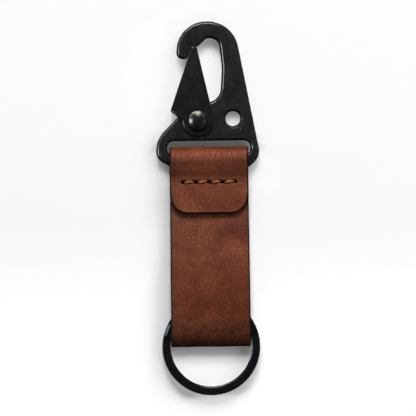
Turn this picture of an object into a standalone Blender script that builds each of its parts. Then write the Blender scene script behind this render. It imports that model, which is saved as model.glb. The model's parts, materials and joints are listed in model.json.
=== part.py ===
"""A leather key holder, lying on its back: a folded strap, a snap hook at one end, a key ring at the other.

Metres, +Z up. The origin is in the middle of the strap's back face, which lies on the table. +Y runs along
the strap towards the hook, and +Z faces the viewer. The stamped hook plate, its folded gate, the gate's
rivet and torsion spring, the one-piece strap, its saddle stitching and the two-turn key ring are separate
solids.
"""

from math import acos, asin, atan2, ceil, cos, hypot, pi, radians, sin, tan

import bmesh
import bpy
import numpy as np
from mathutils import Matrix, Vector

MM = 0.001

# Fits
CLEARANCE = 0.3 * MM  # between leather and the metal that it holds
CHEEK_PLAY = 0.25 * MM  # between each gate cheek and the plate
PIVOT_PLAY = 0.12 * MM  # radial, round the rivet's shank
STOP_GAP = 0.2 * MM  # between the closed gate and the nose that stops it
CUT_OVERRUN = 1.0 * MM  # how far a cutter runs past what it cuts

# Leather strap: the flap, the back and the front are one length of leather
STRAP_LENGTH = 63.0 * MM  # fold to fold, outside
STRAP_WIDTH_AT_RING = 25.0 * MM
STRAP_WIDTH_AT_HOOK = 24.6 * MM
LEATHER_THICKNESS = 2.0 * MM
LEATHER_EDGE = 0.45 * MM  # how much is taken off the burnished edges
LAYER_GAP = 0.1 * MM  # between leather layers that lie on each other
FLAP_LENGTH = 21.2 * MM  # from the top fold to the flap's end
FLAP_CORNER = 5.6 * MM
FRONT_END_GAP = 0.6 * MM  # from the hook's bar to the covered end of the front layer
HUMP_LENGTH = 3.0 * MM  # over which the flap comes down from the bar to the stitching
RING_RUN = 15.6 * MM  # how much of the front lies flat over the ring
SLOPE_LENGTH = 20.0 * MM  # over which the front comes down from the ring to the back layer

# Stitching
STITCH_HOLES = 5
STITCH_PITCH = 4.2 * MM
STITCH_LENGTH = 3.0 * MM  # of each stitch that shows in front
STITCH_RISE = 0.5 * MM  # from a stitch's left end to its right end
STITCH_FROM_FOLD = 11.1 * MM  # from the top fold to the row of holes
THREAD_DIAMETER = 0.8 * MM
THREAD_PLAY = 0.15 * MM  # round the thread
THREAD_BEND = 0.45 * MM  # radius of the thread's centre line where it turns into a hole
# From a hole's middle to its left strand at the back, as shares of two threads' spacing
BACK_STRAND_SHARES = (-0.55, 0.6)
THREAD_END_SHARE = 0.35  # of the way through the last hole, where both ends stop

# Hook plate
PLATE_THICKNESS = 2.5 * MM
PLATE_EDGE = 0.6 * MM  # rounding of the stamped edges
HOOK_LENGTH = 46.1 * MM
SLOT_HEIGHT = 4.4 * MM
SLOT_SIDE_GAP = 0.85 * MM  # from the strap's edge to each end of the slot
BAR_HEIGHT = 4.3 * MM
LEFT_LOBE = 3.35 * MM  # metal outside the slot's left end
RIGHT_LOBE = 2.7 * MM
FOLD_GAP = 0.6 * MM  # from the bar's top edge to the inside of the leather fold
LANYARD_HOLE_RADIUS = 2.45 * MM

# Gate
GATE_SHEET = 0.8 * MM
GATE_EDGE = 0.3 * MM
GATE_END_RADIUS = 4.9 * MM  # round end about the rivet
GATE_TIP_WIDTH = 1.75 * MM
GATE_TIP_GAP = 0.65 * MM  # from the tip to the top of the nose's notch
GATE_CORNER = 0.6 * MM  # radius of the tip's corners and of the thumb tab
SPINE_OFFSET = 9.24 * MM  # from the rivet's axis to the outside of the folded spine

# Rivet
SHANK_RADIUS = 1.25 * MM
DOME_RADIUS = 2.95 * MM
DOME_HEIGHT = 2.2 * MM
TAIL_RADIUS = 2.3 * MM
TAIL_HEIGHT = 0.75 * MM
HEAD_GAP = 0.1 * MM  # between each head and its cheek

# Gate spring
SPRING_WIRE = 0.4 * MM
SPRING_RADIUS = 1.75 * MM  # of the coil's centre line
SPRING_PITCH = 0.52 * MM
SPRING_TURNS = 1.75
SPRING_POCKET_GAP = 0.35 * MM  # round the coil
SPRING_LEG_GAP = 0.2 * MM  # each side of a leg in its channel
SPRING_REACH = 6.3 * MM  # along the spine, from the foot of the rivet's perpendicular to the leg's end
SPRING_ANCHOR = 3.3 * MM  # length of the fixed leg

# Key ring
RING_BORE_GAP = 0.15 * MM  # from the corners of the strap's fold to the ring's bore
RING_BAND = 2.6 * MM  # radial width of the strip
RING_STRIP = 1.0 * MM  # thickness of the strip
RING_TURN_GAP = 0.42 * MM
RING_EDGE = 0.3 * MM  # how much is taken off the strip's edges
RING_ABOVE_FOLD = 0.25 * MM  # the ring's centre over the outside of the bottom fold
RING_STEP_LENGTH = 6.0 * MM  # along the strip, where it steps from one turn to the other
RING_END_GAP = 1.2 * MM  # along the strip, from each cut end to the step
RING_STEP_ANGLE = radians(157)

# How finely curves are divided
ARC_STEP = radians(11)
SLIT_STEP = radians(30)
ROUND_STEPS = 32
EDGE_STEPS = 2
BEND_STEPS = 4
FLAP_CORNER_STEPS = 7
HUMP_STEPS = 5
SLOPE_STEPS = 10
RING_STEPS = 72
SHARP_ANGLE = radians(32)
SAME_PLACE = 0.02 * MM  # points of an outline that lie nearer than this are one

# Levels above the table
FOLD_RADIUS = PLATE_THICKNESS / 2 + CLEARANCE + LEATHER_THICKNESS  # outside of both folds
MID_LEVEL = FOLD_RADIUS
PLATE_FACE = MID_LEVEL + PLATE_THICKNESS / 2
BACK_LEVEL = LEATHER_THICKNESS / 2
FRONT_LEVEL = BACK_LEVEL + LEATHER_THICKNESS + LAYER_GAP
FLAP_LEVEL = FRONT_LEVEL + LEATHER_THICKNESS + LAYER_GAP
PROUD_LEVEL = MID_LEVEL * 2 - BACK_LEVEL  # where leather passes over the bar or the ring
FLAP_TOP = FLAP_LEVEL + LEATHER_THICKNESS / 2
CHEEK_INNER = PLATE_THICKNESS / 2 + CHEEK_PLAY
CHEEK_OUTER = CHEEK_INNER + GATE_SHEET

# Places along the strap
TOP_FOLD = STRAP_LENGTH / 2
BOTTOM_FOLD = -STRAP_LENGTH / 2
STITCH_ROW = TOP_FOLD - STITCH_FROM_FOLD
BAR_TOP = TOP_FOLD - LEATHER_THICKNESS - FOLD_GAP
BAR_BOTTOM = BAR_TOP - BAR_HEIGHT
BAR_AXIS = Vector((0.0, (BAR_TOP + BAR_BOTTOM) / 2, MID_LEVEL))
SLOT_WIDTH = STRAP_WIDTH_AT_HOOK + 2 * SLOT_SIDE_GAP
PLATE_LEFT = -SLOT_WIDTH / 2 - LEFT_LOBE
PLATE_WIDTH = SLOT_WIDTH + LEFT_LOBE + RIGHT_LOBE

# Corners of the plate's outline, clockwise from the hook's top left. Each has its place as shares of the
# plate's width from its left edge and of its length from its bottom edge, and its radius as a share of the
# length.
HOOK_TOP_SHARES = ((0.2117, 1.0, 0.210), (0.761, 1.0, 0.2125))
RIGHT_LOBE_SHARES = ((1.0138, 0.078, 0.108), (0.886, 0.0, 0.065))
LEFT_LOBE_SHARES = ((0.186, 0.0, 0.065), (0.0, 0.065, 0.087), (0.0, 0.202, 0.192))
SHOULDER_SHARES = ((0.347, 0.445, 0.054),)
BAY_SHARES = ((0.632, 0.447, 0.091), (0.650, 0.686, 0.43), (0.617, 0.899, 0.066), (0.498, 0.8935, 0.046))
NOTCH_SHARES = ((0.4195, 0.8475, 0.018), (0.3162, 0.8535, 0.0195))
NOSE_SHARES = ((0.3162, 0.7415, 0.018), (0.2117, 0.7325, 0.035))
RIVET_SHARES = (0.4132, 0.3270)
LANYARD_HOLE_SHARES = (0.7533, 0.3382)


def plate_point(x_share, y_share):
    """A point of the hook plate, from its left edge and its bottom edge."""
    return Vector((PLATE_LEFT + x_share * PLATE_WIDTH, BAR_BOTTOM + y_share * HOOK_LENGTH))


RIVET = plate_point(*RIVET_SHARES)


def clear_scene():
    for obj in list(bpy.data.objects):
        bpy.data.objects.remove(obj, do_unlink=True)


def direction(angle):
    return Vector((cos(angle), sin(angle)))


def arc(centre, radius, start, turn, step=ARC_STEP):
    """Points on an arc, both ends included."""
    steps = max(2, ceil(abs(turn) / step))
    return [centre + direction(start + turn * k / steps) * radius for k in range(steps + 1)]


def circle_loop(centre, radius):
    return [centre + direction(2 * pi * k / ROUND_STEPS) * radius for k in range(ROUND_STEPS)]


def slot_loop(first, last, radius, step=ARC_STEP):
    """A slot with round ends about two points."""
    lie = atan2(last.y - first.y, last.x - first.x)
    return arc(last, radius, lie - pi / 2, pi, step) + arc(first, radius, lie + pi / 2, pi, step)


def fillet_reach(corners, i):
    """How far from its corner a fillet starts, and half the angle between the two edges."""
    here = Vector(corners[i][:2])
    before = Vector(corners[i - 1][:2]) - here
    after = Vector(corners[(i + 1) % len(corners)][:2]) - here
    half = before.angle(after) / 2
    return corners[i][2] / tan(half), half


def rounded_loop(corners):
    """Points round a polygon of corners (x, y, radius), each filleted as far as its edges have room."""
    points = []
    reaches = [fillet_reach(corners, i)[0] for i in range(len(corners))]
    for i, (x, y, radius) in enumerate(corners):
        corner = Vector((x, y))
        if radius == 0:
            points.append(corner)
            continue
        reach, half = fillet_reach(corners, i)
        room = 1.0
        for j in (i - 1, (i + 1) % len(corners)):
            edge = (Vector(corners[j][:2]) - corner).length
            room = min(room, edge / (reach + reaches[j]))
        reach *= room
        before = (Vector(corners[i - 1][:2]) - corner).normalized()
        after = (Vector(corners[(i + 1) % len(corners)][:2]) - corner).normalized()
        centre = corner + (before + after).normalized() * (reach / cos(half))
        first, last = corner + before * reach - centre, corner + after * reach - centre
        turn = atan2(first.x * last.y - first.y * last.x, first.dot(last))
        points += arc(centre, reach * tan(half), atan2(first.y, first.x), turn)
    return [p for p, q in zip(points, points[1:] + points[:1]) if (p - q).length > SAME_PLACE]


def turned_to(loop, anticlockwise):
    area = sum(a.x * b.y - b.x * a.y for a, b in zip(loop, loop[1:] + loop[:1]))
    return loop if (area > 0) == anticlockwise else loop[::-1]


def inset(loop, distance):
    """The loop moved into the material, which lies on its left."""
    moved = []
    for i, here in enumerate(loop):
        back = (here - loop[i - 1]).normalized()
        on = (loop[(i + 1) % len(loop)] - here).normalized()
        left = Vector((-back.y - on.y, back.x + on.x))
        moved.append(here + left * (distance / (1 + back.dot(on))))
    return moved


def add_object(name, data, material, origin=None):
    """An object with its origin, and so its turning point, at the place given in world coordinates."""
    obj = bpy.data.objects.new(name, data)
    bpy.context.scene.collection.objects.link(obj)
    if origin:
        data.transform(Matrix.Translation(-origin))
        obj.location = origin
    if material:
        data.materials.append(material)
    return obj


def mesh_object(name, bm, material, origin=None):
    bmesh.ops.recalc_face_normals(bm, faces=bm.faces)
    mesh = bpy.data.meshes.new(name)
    bm.to_mesh(mesh)
    bm.free()
    mesh.shade_smooth()
    mesh.set_sharp_from_angle(angle=SHARP_ANGLE)
    return add_object(name, mesh, material, origin)


def join_rings(bm, lower, upper):
    for i in range(len(lower)):
        bm.faces.new((lower[i - 1], lower[i], upper[i], upper[i - 1]))


def rounded_plate(name, outer, holes, low, high, rounding=0.0, material=None, origin=None):
    """A flat plate between two levels with through holes, its edges rounded."""
    levels = [(0.0, low), (0.0, high)]
    if rounding:
        quarter = [pi / 2 * k / EDGE_STEPS for k in range(EDGE_STEPS + 1)]
        upper_edge = [(rounding * (1 - cos(a)), high - rounding * (1 - sin(a))) for a in quarter]
        levels = [(d, low + high - z) for d, z in reversed(upper_edge)] + upper_edge
    bm = bmesh.new()
    low_rim, high_rim = [], []
    for loop in [turned_to(outer, True)] + [turned_to(hole, False) for hole in holes]:
        rings = [[bm.verts.new((*p, z)) for p in inset(loop, d)] for d, z in levels]
        for lower, upper in zip(rings, rings[1:]):
            join_rings(bm, lower, upper)
        low_rim += [bm.edges.get((a, b)) for a, b in zip(rings[0], rings[0][1:] + rings[0][:1])]
        high_rim += [bm.edges.get((a, b)) for a, b in zip(rings[-1], rings[-1][1:] + rings[-1][:1])]
    for rim in (low_rim, high_rim):
        bmesh.ops.triangle_fill(bm, use_beauty=True, edges=rim)
    return mesh_object(name, bm, material, origin)


def swept(name, sections, material, origin=None):
    """A solid through closed sections with as many points each, capped at both ends."""
    bm = bmesh.new()
    rings = [[bm.verts.new(p) for p in section] for section in sections]
    for lower, upper in zip(rings, rings[1:]):
        join_rings(bm, lower, upper)
    bm.faces.new(rings[0])
    bm.faces.new(rings[-1][::-1])
    return mesh_object(name, bm, material, origin)


def turned_solid(name, profile, centre, material, origin):
    """A solid turned about a vertical axis. Its profile runs from axis to axis as (radius, height)."""
    bm = bmesh.new()
    verts = [bm.verts.new((centre.x + radius, centre.y, height)) for radius, height in profile]
    edges = [bm.edges.new(pair) for pair in zip(verts, verts[1:])]
    middle = (*centre, 0.0)
    bmesh.ops.spin(bm, geom=verts + edges, cent=middle, axis=(0, 0, 1), angle=2 * pi, steps=ROUND_STEPS)
    bmesh.ops.remove_doubles(bm, verts=bm.verts, dist=SAME_PLACE / 2)
    return mesh_object(name, bm, material, origin)


def tube(name, route, diameter, roundness, material, origin=None):
    """A round wire or thread along a route of points."""
    curve = bpy.data.curves.new(name, "CURVE")
    curve.dimensions = "3D"
    curve.bevel_depth = diameter / 2
    curve.bevel_resolution = roundness
    curve.use_fill_caps = True
    spline = curve.splines.new("POLY")
    spline.points.add(len(route) - 1)
    for point, place in zip(spline.points, route):
        point.co = (*place, 1.0)
    return add_object(name, curve, material, origin)


def cut(obj, cutter):
    """Takes the cutter's shape out of the object, and keeps the cutter as a wire helper."""
    cutter.hide_render = True
    cutter.display_type = "WIRE"
    modifier = obj.modifiers.new(f"cut by {cutter.name}", "BOOLEAN")
    modifier.operation = "DIFFERENCE"
    modifier.object = cutter


def finish_of(name, colour, roughness, metallic=0.0):
    material = bpy.data.materials.new(name)
    material.use_nodes = True
    shader = material.node_tree.nodes["Principled BSDF"]
    shader.inputs["Base Color"].default_value = (*colour, 1.0)
    shader.inputs["Roughness"].default_value = roughness
    shader.inputs["Metallic"].default_value = metallic
    return material


def plate_outline():
    shares = HOOK_TOP_SHARES + RIGHT_LOBE_SHARES + LEFT_LOBE_SHARES + SHOULDER_SHARES
    shares += BAY_SHARES + NOTCH_SHARES + NOSE_SHARES
    return rounded_loop([(*plate_point(x, y), radius * HOOK_LENGTH) for x, y, radius in shares])


def spine_directions():
    """Unit vectors along the closed gate's spine towards its tip, and out of the gate, across the spine."""
    nose_x, nose_y, nose_radius = NOSE_SHARES[0]
    stop = plate_point(nose_x, nose_y + nose_radius) - RIVET
    lean = atan2(stop.y, stop.x) + acos((SPINE_OFFSET + STOP_GAP) / stop.length)
    out = direction(lean)
    return Vector((out.y, -out.x)), out


def gate_outline():
    """The cheek: a round end about the rivet, a long taper to the tip, a thumb tab at the spine's foot."""
    along, out = spine_directions()
    foot = RIVET + out * SPINE_OFFSET
    tip_y = plate_point(*NOTCH_SHARES[1][:2]).y - GATE_TIP_GAP
    tip_left = foot + along * ((tip_y - foot.y) / along.y)
    tip_right = tip_left + Vector((GATE_TIP_WIDTH, 0.0))
    reach = tip_right - RIVET
    edge_angle = atan2(reach.y, reach.x) - acos(GATE_END_RADIUS / reach.length)
    round_end = arc(RIVET, GATE_END_RADIUS, edge_angle, -pi - edge_angle)
    corners = [(*tip_left, GATE_CORNER), (*tip_right, GATE_CORNER)]
    corners += [(*p, 0.0) for p in round_end]
    return rounded_loop(corners + [(*foot, GATE_CORNER)])


def gate_hollow():
    """What the fold leaves open between the cheeks: everything on the rivet's side of the spine's sheet."""
    along, out = spine_directions()
    inside = RIVET + out * (SPINE_OFFSET - GATE_SHEET)
    far = out * (-2 * SPINE_OFFSET)
    low, high = inside - along * SPINE_OFFSET, inside + along * HOOK_LENGTH
    return [low, high, high + far, low + far]


def make_hook_plate(material):
    low = PLATE_FACE - PLATE_THICKNESS
    slot_end = Vector(((SLOT_WIDTH - SLOT_HEIGHT) / 2, BAR_TOP + SLOT_HEIGHT / 2))
    slot = slot_loop(Vector((-slot_end.x, slot_end.y)), slot_end, SLOT_HEIGHT / 2)
    lanyard_hole = circle_loop(plate_point(*LANYARD_HOLE_SHARES), LANYARD_HOLE_RADIUS)
    outline = plate_outline()
    plate = rounded_plate(
        "hook_plate", outline, [slot, lanyard_hole], low, PLATE_FACE, PLATE_EDGE, material, BAR_AXIS
    )
    bore = circle_loop(RIVET, SHANK_RADIUS + PIVOT_PLAY)
    cut(plate, rounded_plate("rivet_bore_cutter", bore, [], low - CUT_OVERRUN, PLATE_FACE + CUT_OVERRUN))
    for cutter in spring_pocket_cutters():
        cut(plate, cutter)
    return plate


def make_gate(material):
    bore = circle_loop(RIVET, SHANK_RADIUS + PIVOT_PLAY)
    low, high = MID_LEVEL - CHEEK_OUTER, MID_LEVEL + CHEEK_OUTER
    pivot = Vector((*RIVET, MID_LEVEL))
    gate = rounded_plate("gate_lever", gate_outline(), [bore], low, high, GATE_EDGE, material, pivot)
    inner_low, inner_high = MID_LEVEL - CHEEK_INNER, MID_LEVEL + CHEEK_INNER
    cut(gate, rounded_plate("gate_hollow_cutter", gate_hollow(), [], inner_low, inner_high))
    return gate


def make_rivet(material):
    """Domed head in front, shank through both cheeks and the plate, and a tail peened over behind."""
    head, tail = MID_LEVEL + CHEEK_OUTER + HEAD_GAP, MID_LEVEL - CHEEK_OUTER - HEAD_GAP
    tail_edge = TAIL_HEIGHT / 2
    profile = [(0.0, tail - TAIL_HEIGHT), (TAIL_RADIUS - tail_edge, tail - TAIL_HEIGHT)]
    profile += [(TAIL_RADIUS, tail - tail_edge), (TAIL_RADIUS, tail), (SHANK_RADIUS, tail)]
    profile += [(SHANK_RADIUS, head), (DOME_RADIUS, head)]
    sphere = (DOME_RADIUS**2 + DOME_HEIGHT**2) / (2 * DOME_HEIGHT)
    edge = asin(DOME_RADIUS / sphere)
    steps = ceil(edge / ARC_STEP)
    for k in range(1, steps):
        angle = edge * (1 - k / steps)
        profile.append((sphere * sin(angle), head + DOME_HEIGHT - sphere * (1 - cos(angle))))
    profile.append((0.0, head + DOME_HEIGHT))
    return turned_solid("gate_rivet", profile, RIVET, material, Vector((*RIVET, MID_LEVEL)))


def spring_legs():
    """The angle at which the moving leg leaves the coil, that leg's ends and the fixed leg's, in plan."""
    along, out = spine_directions()
    rest = SPINE_OFFSET - GATE_SHEET - SPRING_WIRE / 2 - STOP_GAP
    tip = RIVET + out * rest + along * SPRING_REACH
    reach = tip - RIVET
    leave_angle = atan2(reach.y, reach.x) - acos(SPRING_RADIUS / reach.length)
    start_angle = leave_angle - 2 * pi * SPRING_TURNS
    leave = RIVET + direction(leave_angle) * SPRING_RADIUS
    start = RIVET + direction(start_angle) * SPRING_RADIUS
    anchor = start + direction(start_angle - pi / 2) * SPRING_ANCHOR
    return leave_angle, leave, tip, start, anchor


def channel(name, start, end, low):
    """A cutter for a spring leg's channel, from one point to past another, open at the plate's face."""
    along = (end - start).normalized()
    half = SPRING_WIRE / 2 + SPRING_LEG_GAP
    side, past = Vector((-along.y, along.x)) * half, along * half
    corners = [start - side, end - side + past, end + side + past, start + side]
    return rounded_plate(name, corners, [], low, PLATE_FACE + CUT_OVERRUN)


def spring_pocket_cutters():
    """The round pocket for the coil, sunk from the plate's front face, and a channel for each leg."""
    _, leave, tip, start, anchor = spring_legs()
    floor = PLATE_FACE - SPRING_PITCH * SPRING_TURNS - SPRING_WIRE - 2 * SPRING_LEG_GAP
    pocket = circle_loop(RIVET, SPRING_RADIUS + SPRING_WIRE / 2 + SPRING_POCKET_GAP)
    return [
        rounded_plate("coil_pocket_cutter", pocket, [], floor, PLATE_FACE + CUT_OVERRUN),
        channel("moving_leg_cutter", leave, tip, PLATE_FACE - SPRING_WIRE - 2 * SPRING_LEG_GAP),
        channel("fixed_leg_cutter", start, anchor, floor),
    ]


def make_spring(material):
    """A torsion spring in the plate's pocket. One leg is anchored there, the other bears on the spine."""
    leave_angle, _, tip, _, anchor = spring_legs()
    top = PLATE_FACE - SPRING_LEG_GAP - SPRING_WIRE / 2
    low = top - SPRING_PITCH * SPRING_TURNS
    steps = ceil(pi * SPRING_TURNS / ARC_STEP)
    route = [(*anchor, low)]
    for k in range(steps + 1):
        share = k / steps
        angle = leave_angle - 2 * pi * SPRING_TURNS * (1 - share)
        route.append((*(RIVET + direction(angle) * SPRING_RADIUS), low + (top - low) * share))
    route.append((*tip, top))
    return tube("gate_spring", route, SPRING_WIRE, 1, material, Vector((*RIVET, MID_LEVEL)))


def strap_half_width(y):
    share = (y - BOTTOM_FOLD) / STRAP_LENGTH
    return (STRAP_WIDTH_AT_RING + (STRAP_WIDTH_AT_HOOK - STRAP_WIDTH_AT_RING) * share) / 2


def ease(start, end, share):
    return start + (end - start) * share * share * (3 - 2 * share)


def gentle(y_start, length, z_start, z_end, steps):
    """Stations along an eased change of level."""
    return [(y_start + length * k / steps, ease(z_start, z_end, k / steps)) for k in range(steps + 1)]


def flap_end_stations():
    """Stations round the flap's corners, as (distance from the flap's end, half width lost there)."""
    angles = [pi / 2 * k / FLAP_CORNER_STEPS for k in range(FLAP_CORNER_STEPS + 1)]
    return [(FLAP_CORNER * (1 - cos(a)), FLAP_CORNER * (1 - sin(a))) for a in angles]


def strap_route():
    """The leather's centre line in the YZ plane, from the flap's end round the bar and the ring."""
    flap_end = TOP_FOLD - FLAP_LENGTH
    bend = FOLD_RADIUS - LEATHER_THICKNESS / 2
    top_centre = Vector((TOP_FOLD - FOLD_RADIUS, MID_LEVEL))
    bottom_centre = Vector((BOTTOM_FOLD + FOLD_RADIUS, MID_LEVEL))
    route = [(flap_end + distance, FLAP_LEVEL) for distance, _ in flap_end_stations()]
    route += gentle(BAR_BOTTOM - HUMP_LENGTH, HUMP_LENGTH, FLAP_LEVEL, PROUD_LEVEL, HUMP_STEPS)
    route += arc(top_centre, bend, pi / 2, -pi)
    route += arc(bottom_centre, bend, -pi / 2, -pi)
    route += gentle(BOTTOM_FOLD + RING_RUN, SLOPE_LENGTH, PROUD_LEVEL, FRONT_LEVEL, SLOPE_STEPS)
    route.append((BAR_BOTTOM - FRONT_END_GAP, FRONT_LEVEL))
    return [Vector(p) for p in route]


def strap_section(place, normal, half):
    """The strap's section at one station: a rectangle across X whose edges are taken off."""
    thick = LEATHER_THICKNESS / 2
    outline = []
    for side, face in ((-1, -1), (1, -1), (1, 1), (-1, 1)):
        ends = [(half * side, (thick - LEATHER_EDGE) * face), ((half - LEATHER_EDGE) * side, thick * face)]
        outline += ends if side * face > 0 else ends[::-1]
    return [(x, *(place + normal * d)) for x, d in outline]


def make_strap(material):
    route = strap_route()
    lost = [loss for _, loss in flap_end_stations()] + [0.0] * len(route)
    sections = []
    for i, here in enumerate(route):
        along = (route[min(i + 1, len(route) - 1)] - route[max(i - 1, 0)]).normalized()
        sections.append(strap_section(here, Vector((-along.y, along.x)), strap_half_width(here.x) - lost[i]))
    strap = swept("leather_strap", sections, material)
    for hole in range(STITCH_HOLES):
        cut(strap, stitch_slit(hole))
    cut(strap, stitch_groove())
    return strap


def stitch_levels():
    """Heights of the thread's centre line on the back and on the front."""
    away = THREAD_PLAY + THREAD_DIAMETER / 2
    return away, FLAP_TOP + away


def left_strands():
    """From a hole's middle to its left strand on the back and on the front. The right strand is opposite."""
    spacing = THREAD_DIAMETER + THREAD_PLAY
    front = Vector((STITCH_LENGTH - STITCH_PITCH - THREAD_DIAMETER, STITCH_RISE)) / 2
    return Vector(BACK_STRAND_SHARES) * spacing, front


def hole_middle(hole):
    return Vector(((hole - (STITCH_HOLES - 1) / 2) * STITCH_PITCH, STITCH_ROW))


def stitch_slit(hole):
    """A pricked slit through all three layers, wide enough for its two strands and turning with them."""
    room = THREAD_DIAMETER / 2 + THREAD_PLAY
    low, high = stitch_levels()
    back, front = left_strands()
    sections = []
    for z in (-CUT_OVERRUN, FLAP_TOP + CUT_OVERRUN):
        left = back.lerp(front, (z - low) / (high - low))
        loop = slot_loop(hole_middle(hole) + left, hole_middle(hole) - left, room, SLIT_STEP)
        sections.append([(*p, z) for p in loop])
    return swept(f"slit_cutter_{hole + 1}", sections, None)


def stitch_groove():
    """The groove in the back face that keeps the thread off the table."""
    back, _ = left_strands()
    half = abs(back.y) + THREAD_DIAMETER / 2 + THREAD_PLAY
    outline = slot_loop(hole_middle(0), hole_middle(STITCH_HOLES - 1), half, SLIT_STEP)
    return rounded_plate("groove_cutter", outline, [], -CUT_OVERRUN, THREAD_DIAMETER + 2 * THREAD_PLAY)


def thread_corners():
    """One thread sewn with two needles, from its end in the last hole to the first hole and back.

    In front a stitch leaves each hole by its right strand and enters the next by its left one. Behind, it
    leaves by the left strand and enters by the right one, except that the first hole holds its right strand
    alone.
    """
    back_level, front_level = stitch_levels()
    back, front = left_strands()
    last = STITCH_HOLES - 1

    def place(hole, in_front, left):
        strand = (front if in_front else back) * (1 if left else -1)
        return Vector((*(hole_middle(hole) + strand), front_level if in_front else back_level))

    runs = []
    for starts_in_front in (True, False):
        in_front = starts_in_front
        run = [place(0, in_front, False)]
        for hole in range(1, last + 1):
            left = in_front
            run.append(place(hole, in_front, left))
            in_front = not in_front
            run.append(place(hole, in_front, left))
        run[-1] = run[-2].lerp(run[-1], THREAD_END_SHARE)
        runs.append(run)
    return runs[0][::-1] + runs[1]


def bent_route(corners, radius):
    """A route through corners, each but the ends turned with this radius."""
    route = [corners[0]]
    for before, here, after in zip(corners, corners[1:], corners[2:]):
        a, b = (before - here).normalized(), (after - here).normalized()
        half = a.angle(b) / 2
        centre = here + (a + b).normalized() * (radius / sin(half))
        first, last = here + a * (radius / tan(half)) - centre, here + b * (radius / tan(half)) - centre
        turn = first.angle(last)
        across = (last - first * cos(turn)) / sin(turn)
        angles = [turn * k / BEND_STEPS for k in range(BEND_STEPS + 1)]
        route += [centre + first * cos(angle) + across * sin(angle) for angle in angles]
    return route + [corners[-1]]


def make_thread(material):
    route = bent_route(thread_corners(), THREAD_BEND)
    return tube("stitch_thread", route, THREAD_DIAMETER, 2, material)


def ring_sizes():
    """The ring's bore radius and its centre along Y."""
    centre = BOTTOM_FOLD + RING_ABOVE_FOLD
    reach = max(abs(RING_ABOVE_FOLD), abs(LEATHER_THICKNESS - RING_ABOVE_FOLD))
    return hypot(strap_half_width(BOTTOM_FOLD), reach) + RING_BORE_GAP, centre


def ring_sections():
    """Sections of the strip: a lower turn, a step up, and an upper turn back to the step."""
    bore, centre = ring_sizes()
    middle = bore + RING_BAND / 2
    step_turn, end_turn = RING_STEP_LENGTH / middle, RING_END_GAP / middle
    count = int((4 * pi - step_turn - 2 * end_turn) / (2 * pi) * RING_STEPS)
    rise = (RING_STRIP + RING_TURN_GAP) / 2
    half, thick = RING_BAND / 2, RING_STRIP / 2
    profile = [(-half + RING_EDGE, -thick), (half - RING_EDGE, -thick), (half, -thick + RING_EDGE)]
    profile += [(half, thick - RING_EDGE), (half - RING_EDGE, thick), (-half + RING_EDGE, thick)]
    profile += [(-half, thick - RING_EDGE), (-half, -thick + RING_EDGE)]
    sections = []
    for k in range(count + 1):
        turn = end_turn + 2 * pi * k / RING_STEPS
        share = min(1.0, max(0.0, (turn - (2 * pi - step_turn)) / step_turn))
        level = MID_LEVEL + ease(-rise, rise, share)
        across = direction(RING_STEP_ANGLE + turn)
        spots = [(middle + out, level + up) for out, up in profile]
        sections.append([(across.x * reach, centre + across.y * reach, height) for reach, height in spots])
    return sections


def least_gap(sections):
    """The least distance between points of the wound strip that lie more than half a turn apart."""
    points = np.array(sections)
    least = float("inf")
    for i in range(len(points) - RING_STEPS // 2):
        others = points[i + RING_STEPS // 2 :].reshape(-1, 1, 3)
        least = min(least, float(np.linalg.norm(others - points[i], axis=2).min()))
    return least


def make_ring(material):
    sections = ring_sections()
    print(f"key ring: least gap between its turns {least_gap(sections) / MM:.2f} mm")
    return swept("key_ring", sections, material, Vector((0.0, ring_sizes()[1], MID_LEVEL)))


def carrier(name, place, parent=None):
    """An empty on a joint's axis, which carries the pieces that turn with it."""
    empty = bpy.data.objects.new(name, None)
    bpy.context.scene.collection.objects.link(empty)
    empty.location = place
    return carried(empty, parent) if parent else empty


def carried(obj, parent):
    obj.parent = parent
    obj.matrix_parent_inverse = Matrix.Translation(parent.location).inverted()
    return obj


def main():
    clear_scene()
    black = finish_of("black coated steel", (0.016, 0.017, 0.017), 0.42, 0.3)
    gate_black = finish_of("black coated sheet", (0.012, 0.014, 0.013), 0.38, 0.3)
    ring_black = finish_of("black ring steel", (0.008, 0.009, 0.010), 0.30, 0.4)
    bright = finish_of("spring steel", (0.45, 0.45, 0.44), 0.35, 1.0)
    leather = finish_of("brown leather", (0.150, 0.045, 0.024), 0.55)
    tan_thread = finish_of("waxed tan thread", (0.36, 0.19, 0.08), 0.60)

    strap = make_strap(leather)
    hook_axis = carrier("hook_axis", BAR_AXIS, strap)
    carried(make_thread(tan_thread), strap)
    carried(make_hook_plate(black), hook_axis)
    carried(make_rivet(black), hook_axis)
    carried(make_spring(bright), hook_axis)
    carried(make_gate(gate_black), hook_axis)
    carried(make_ring(ring_black), strap)


main()
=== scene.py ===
import json
from math import acos, asin, atan2, ceil, cos, pi, radians, sin, tan

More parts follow.
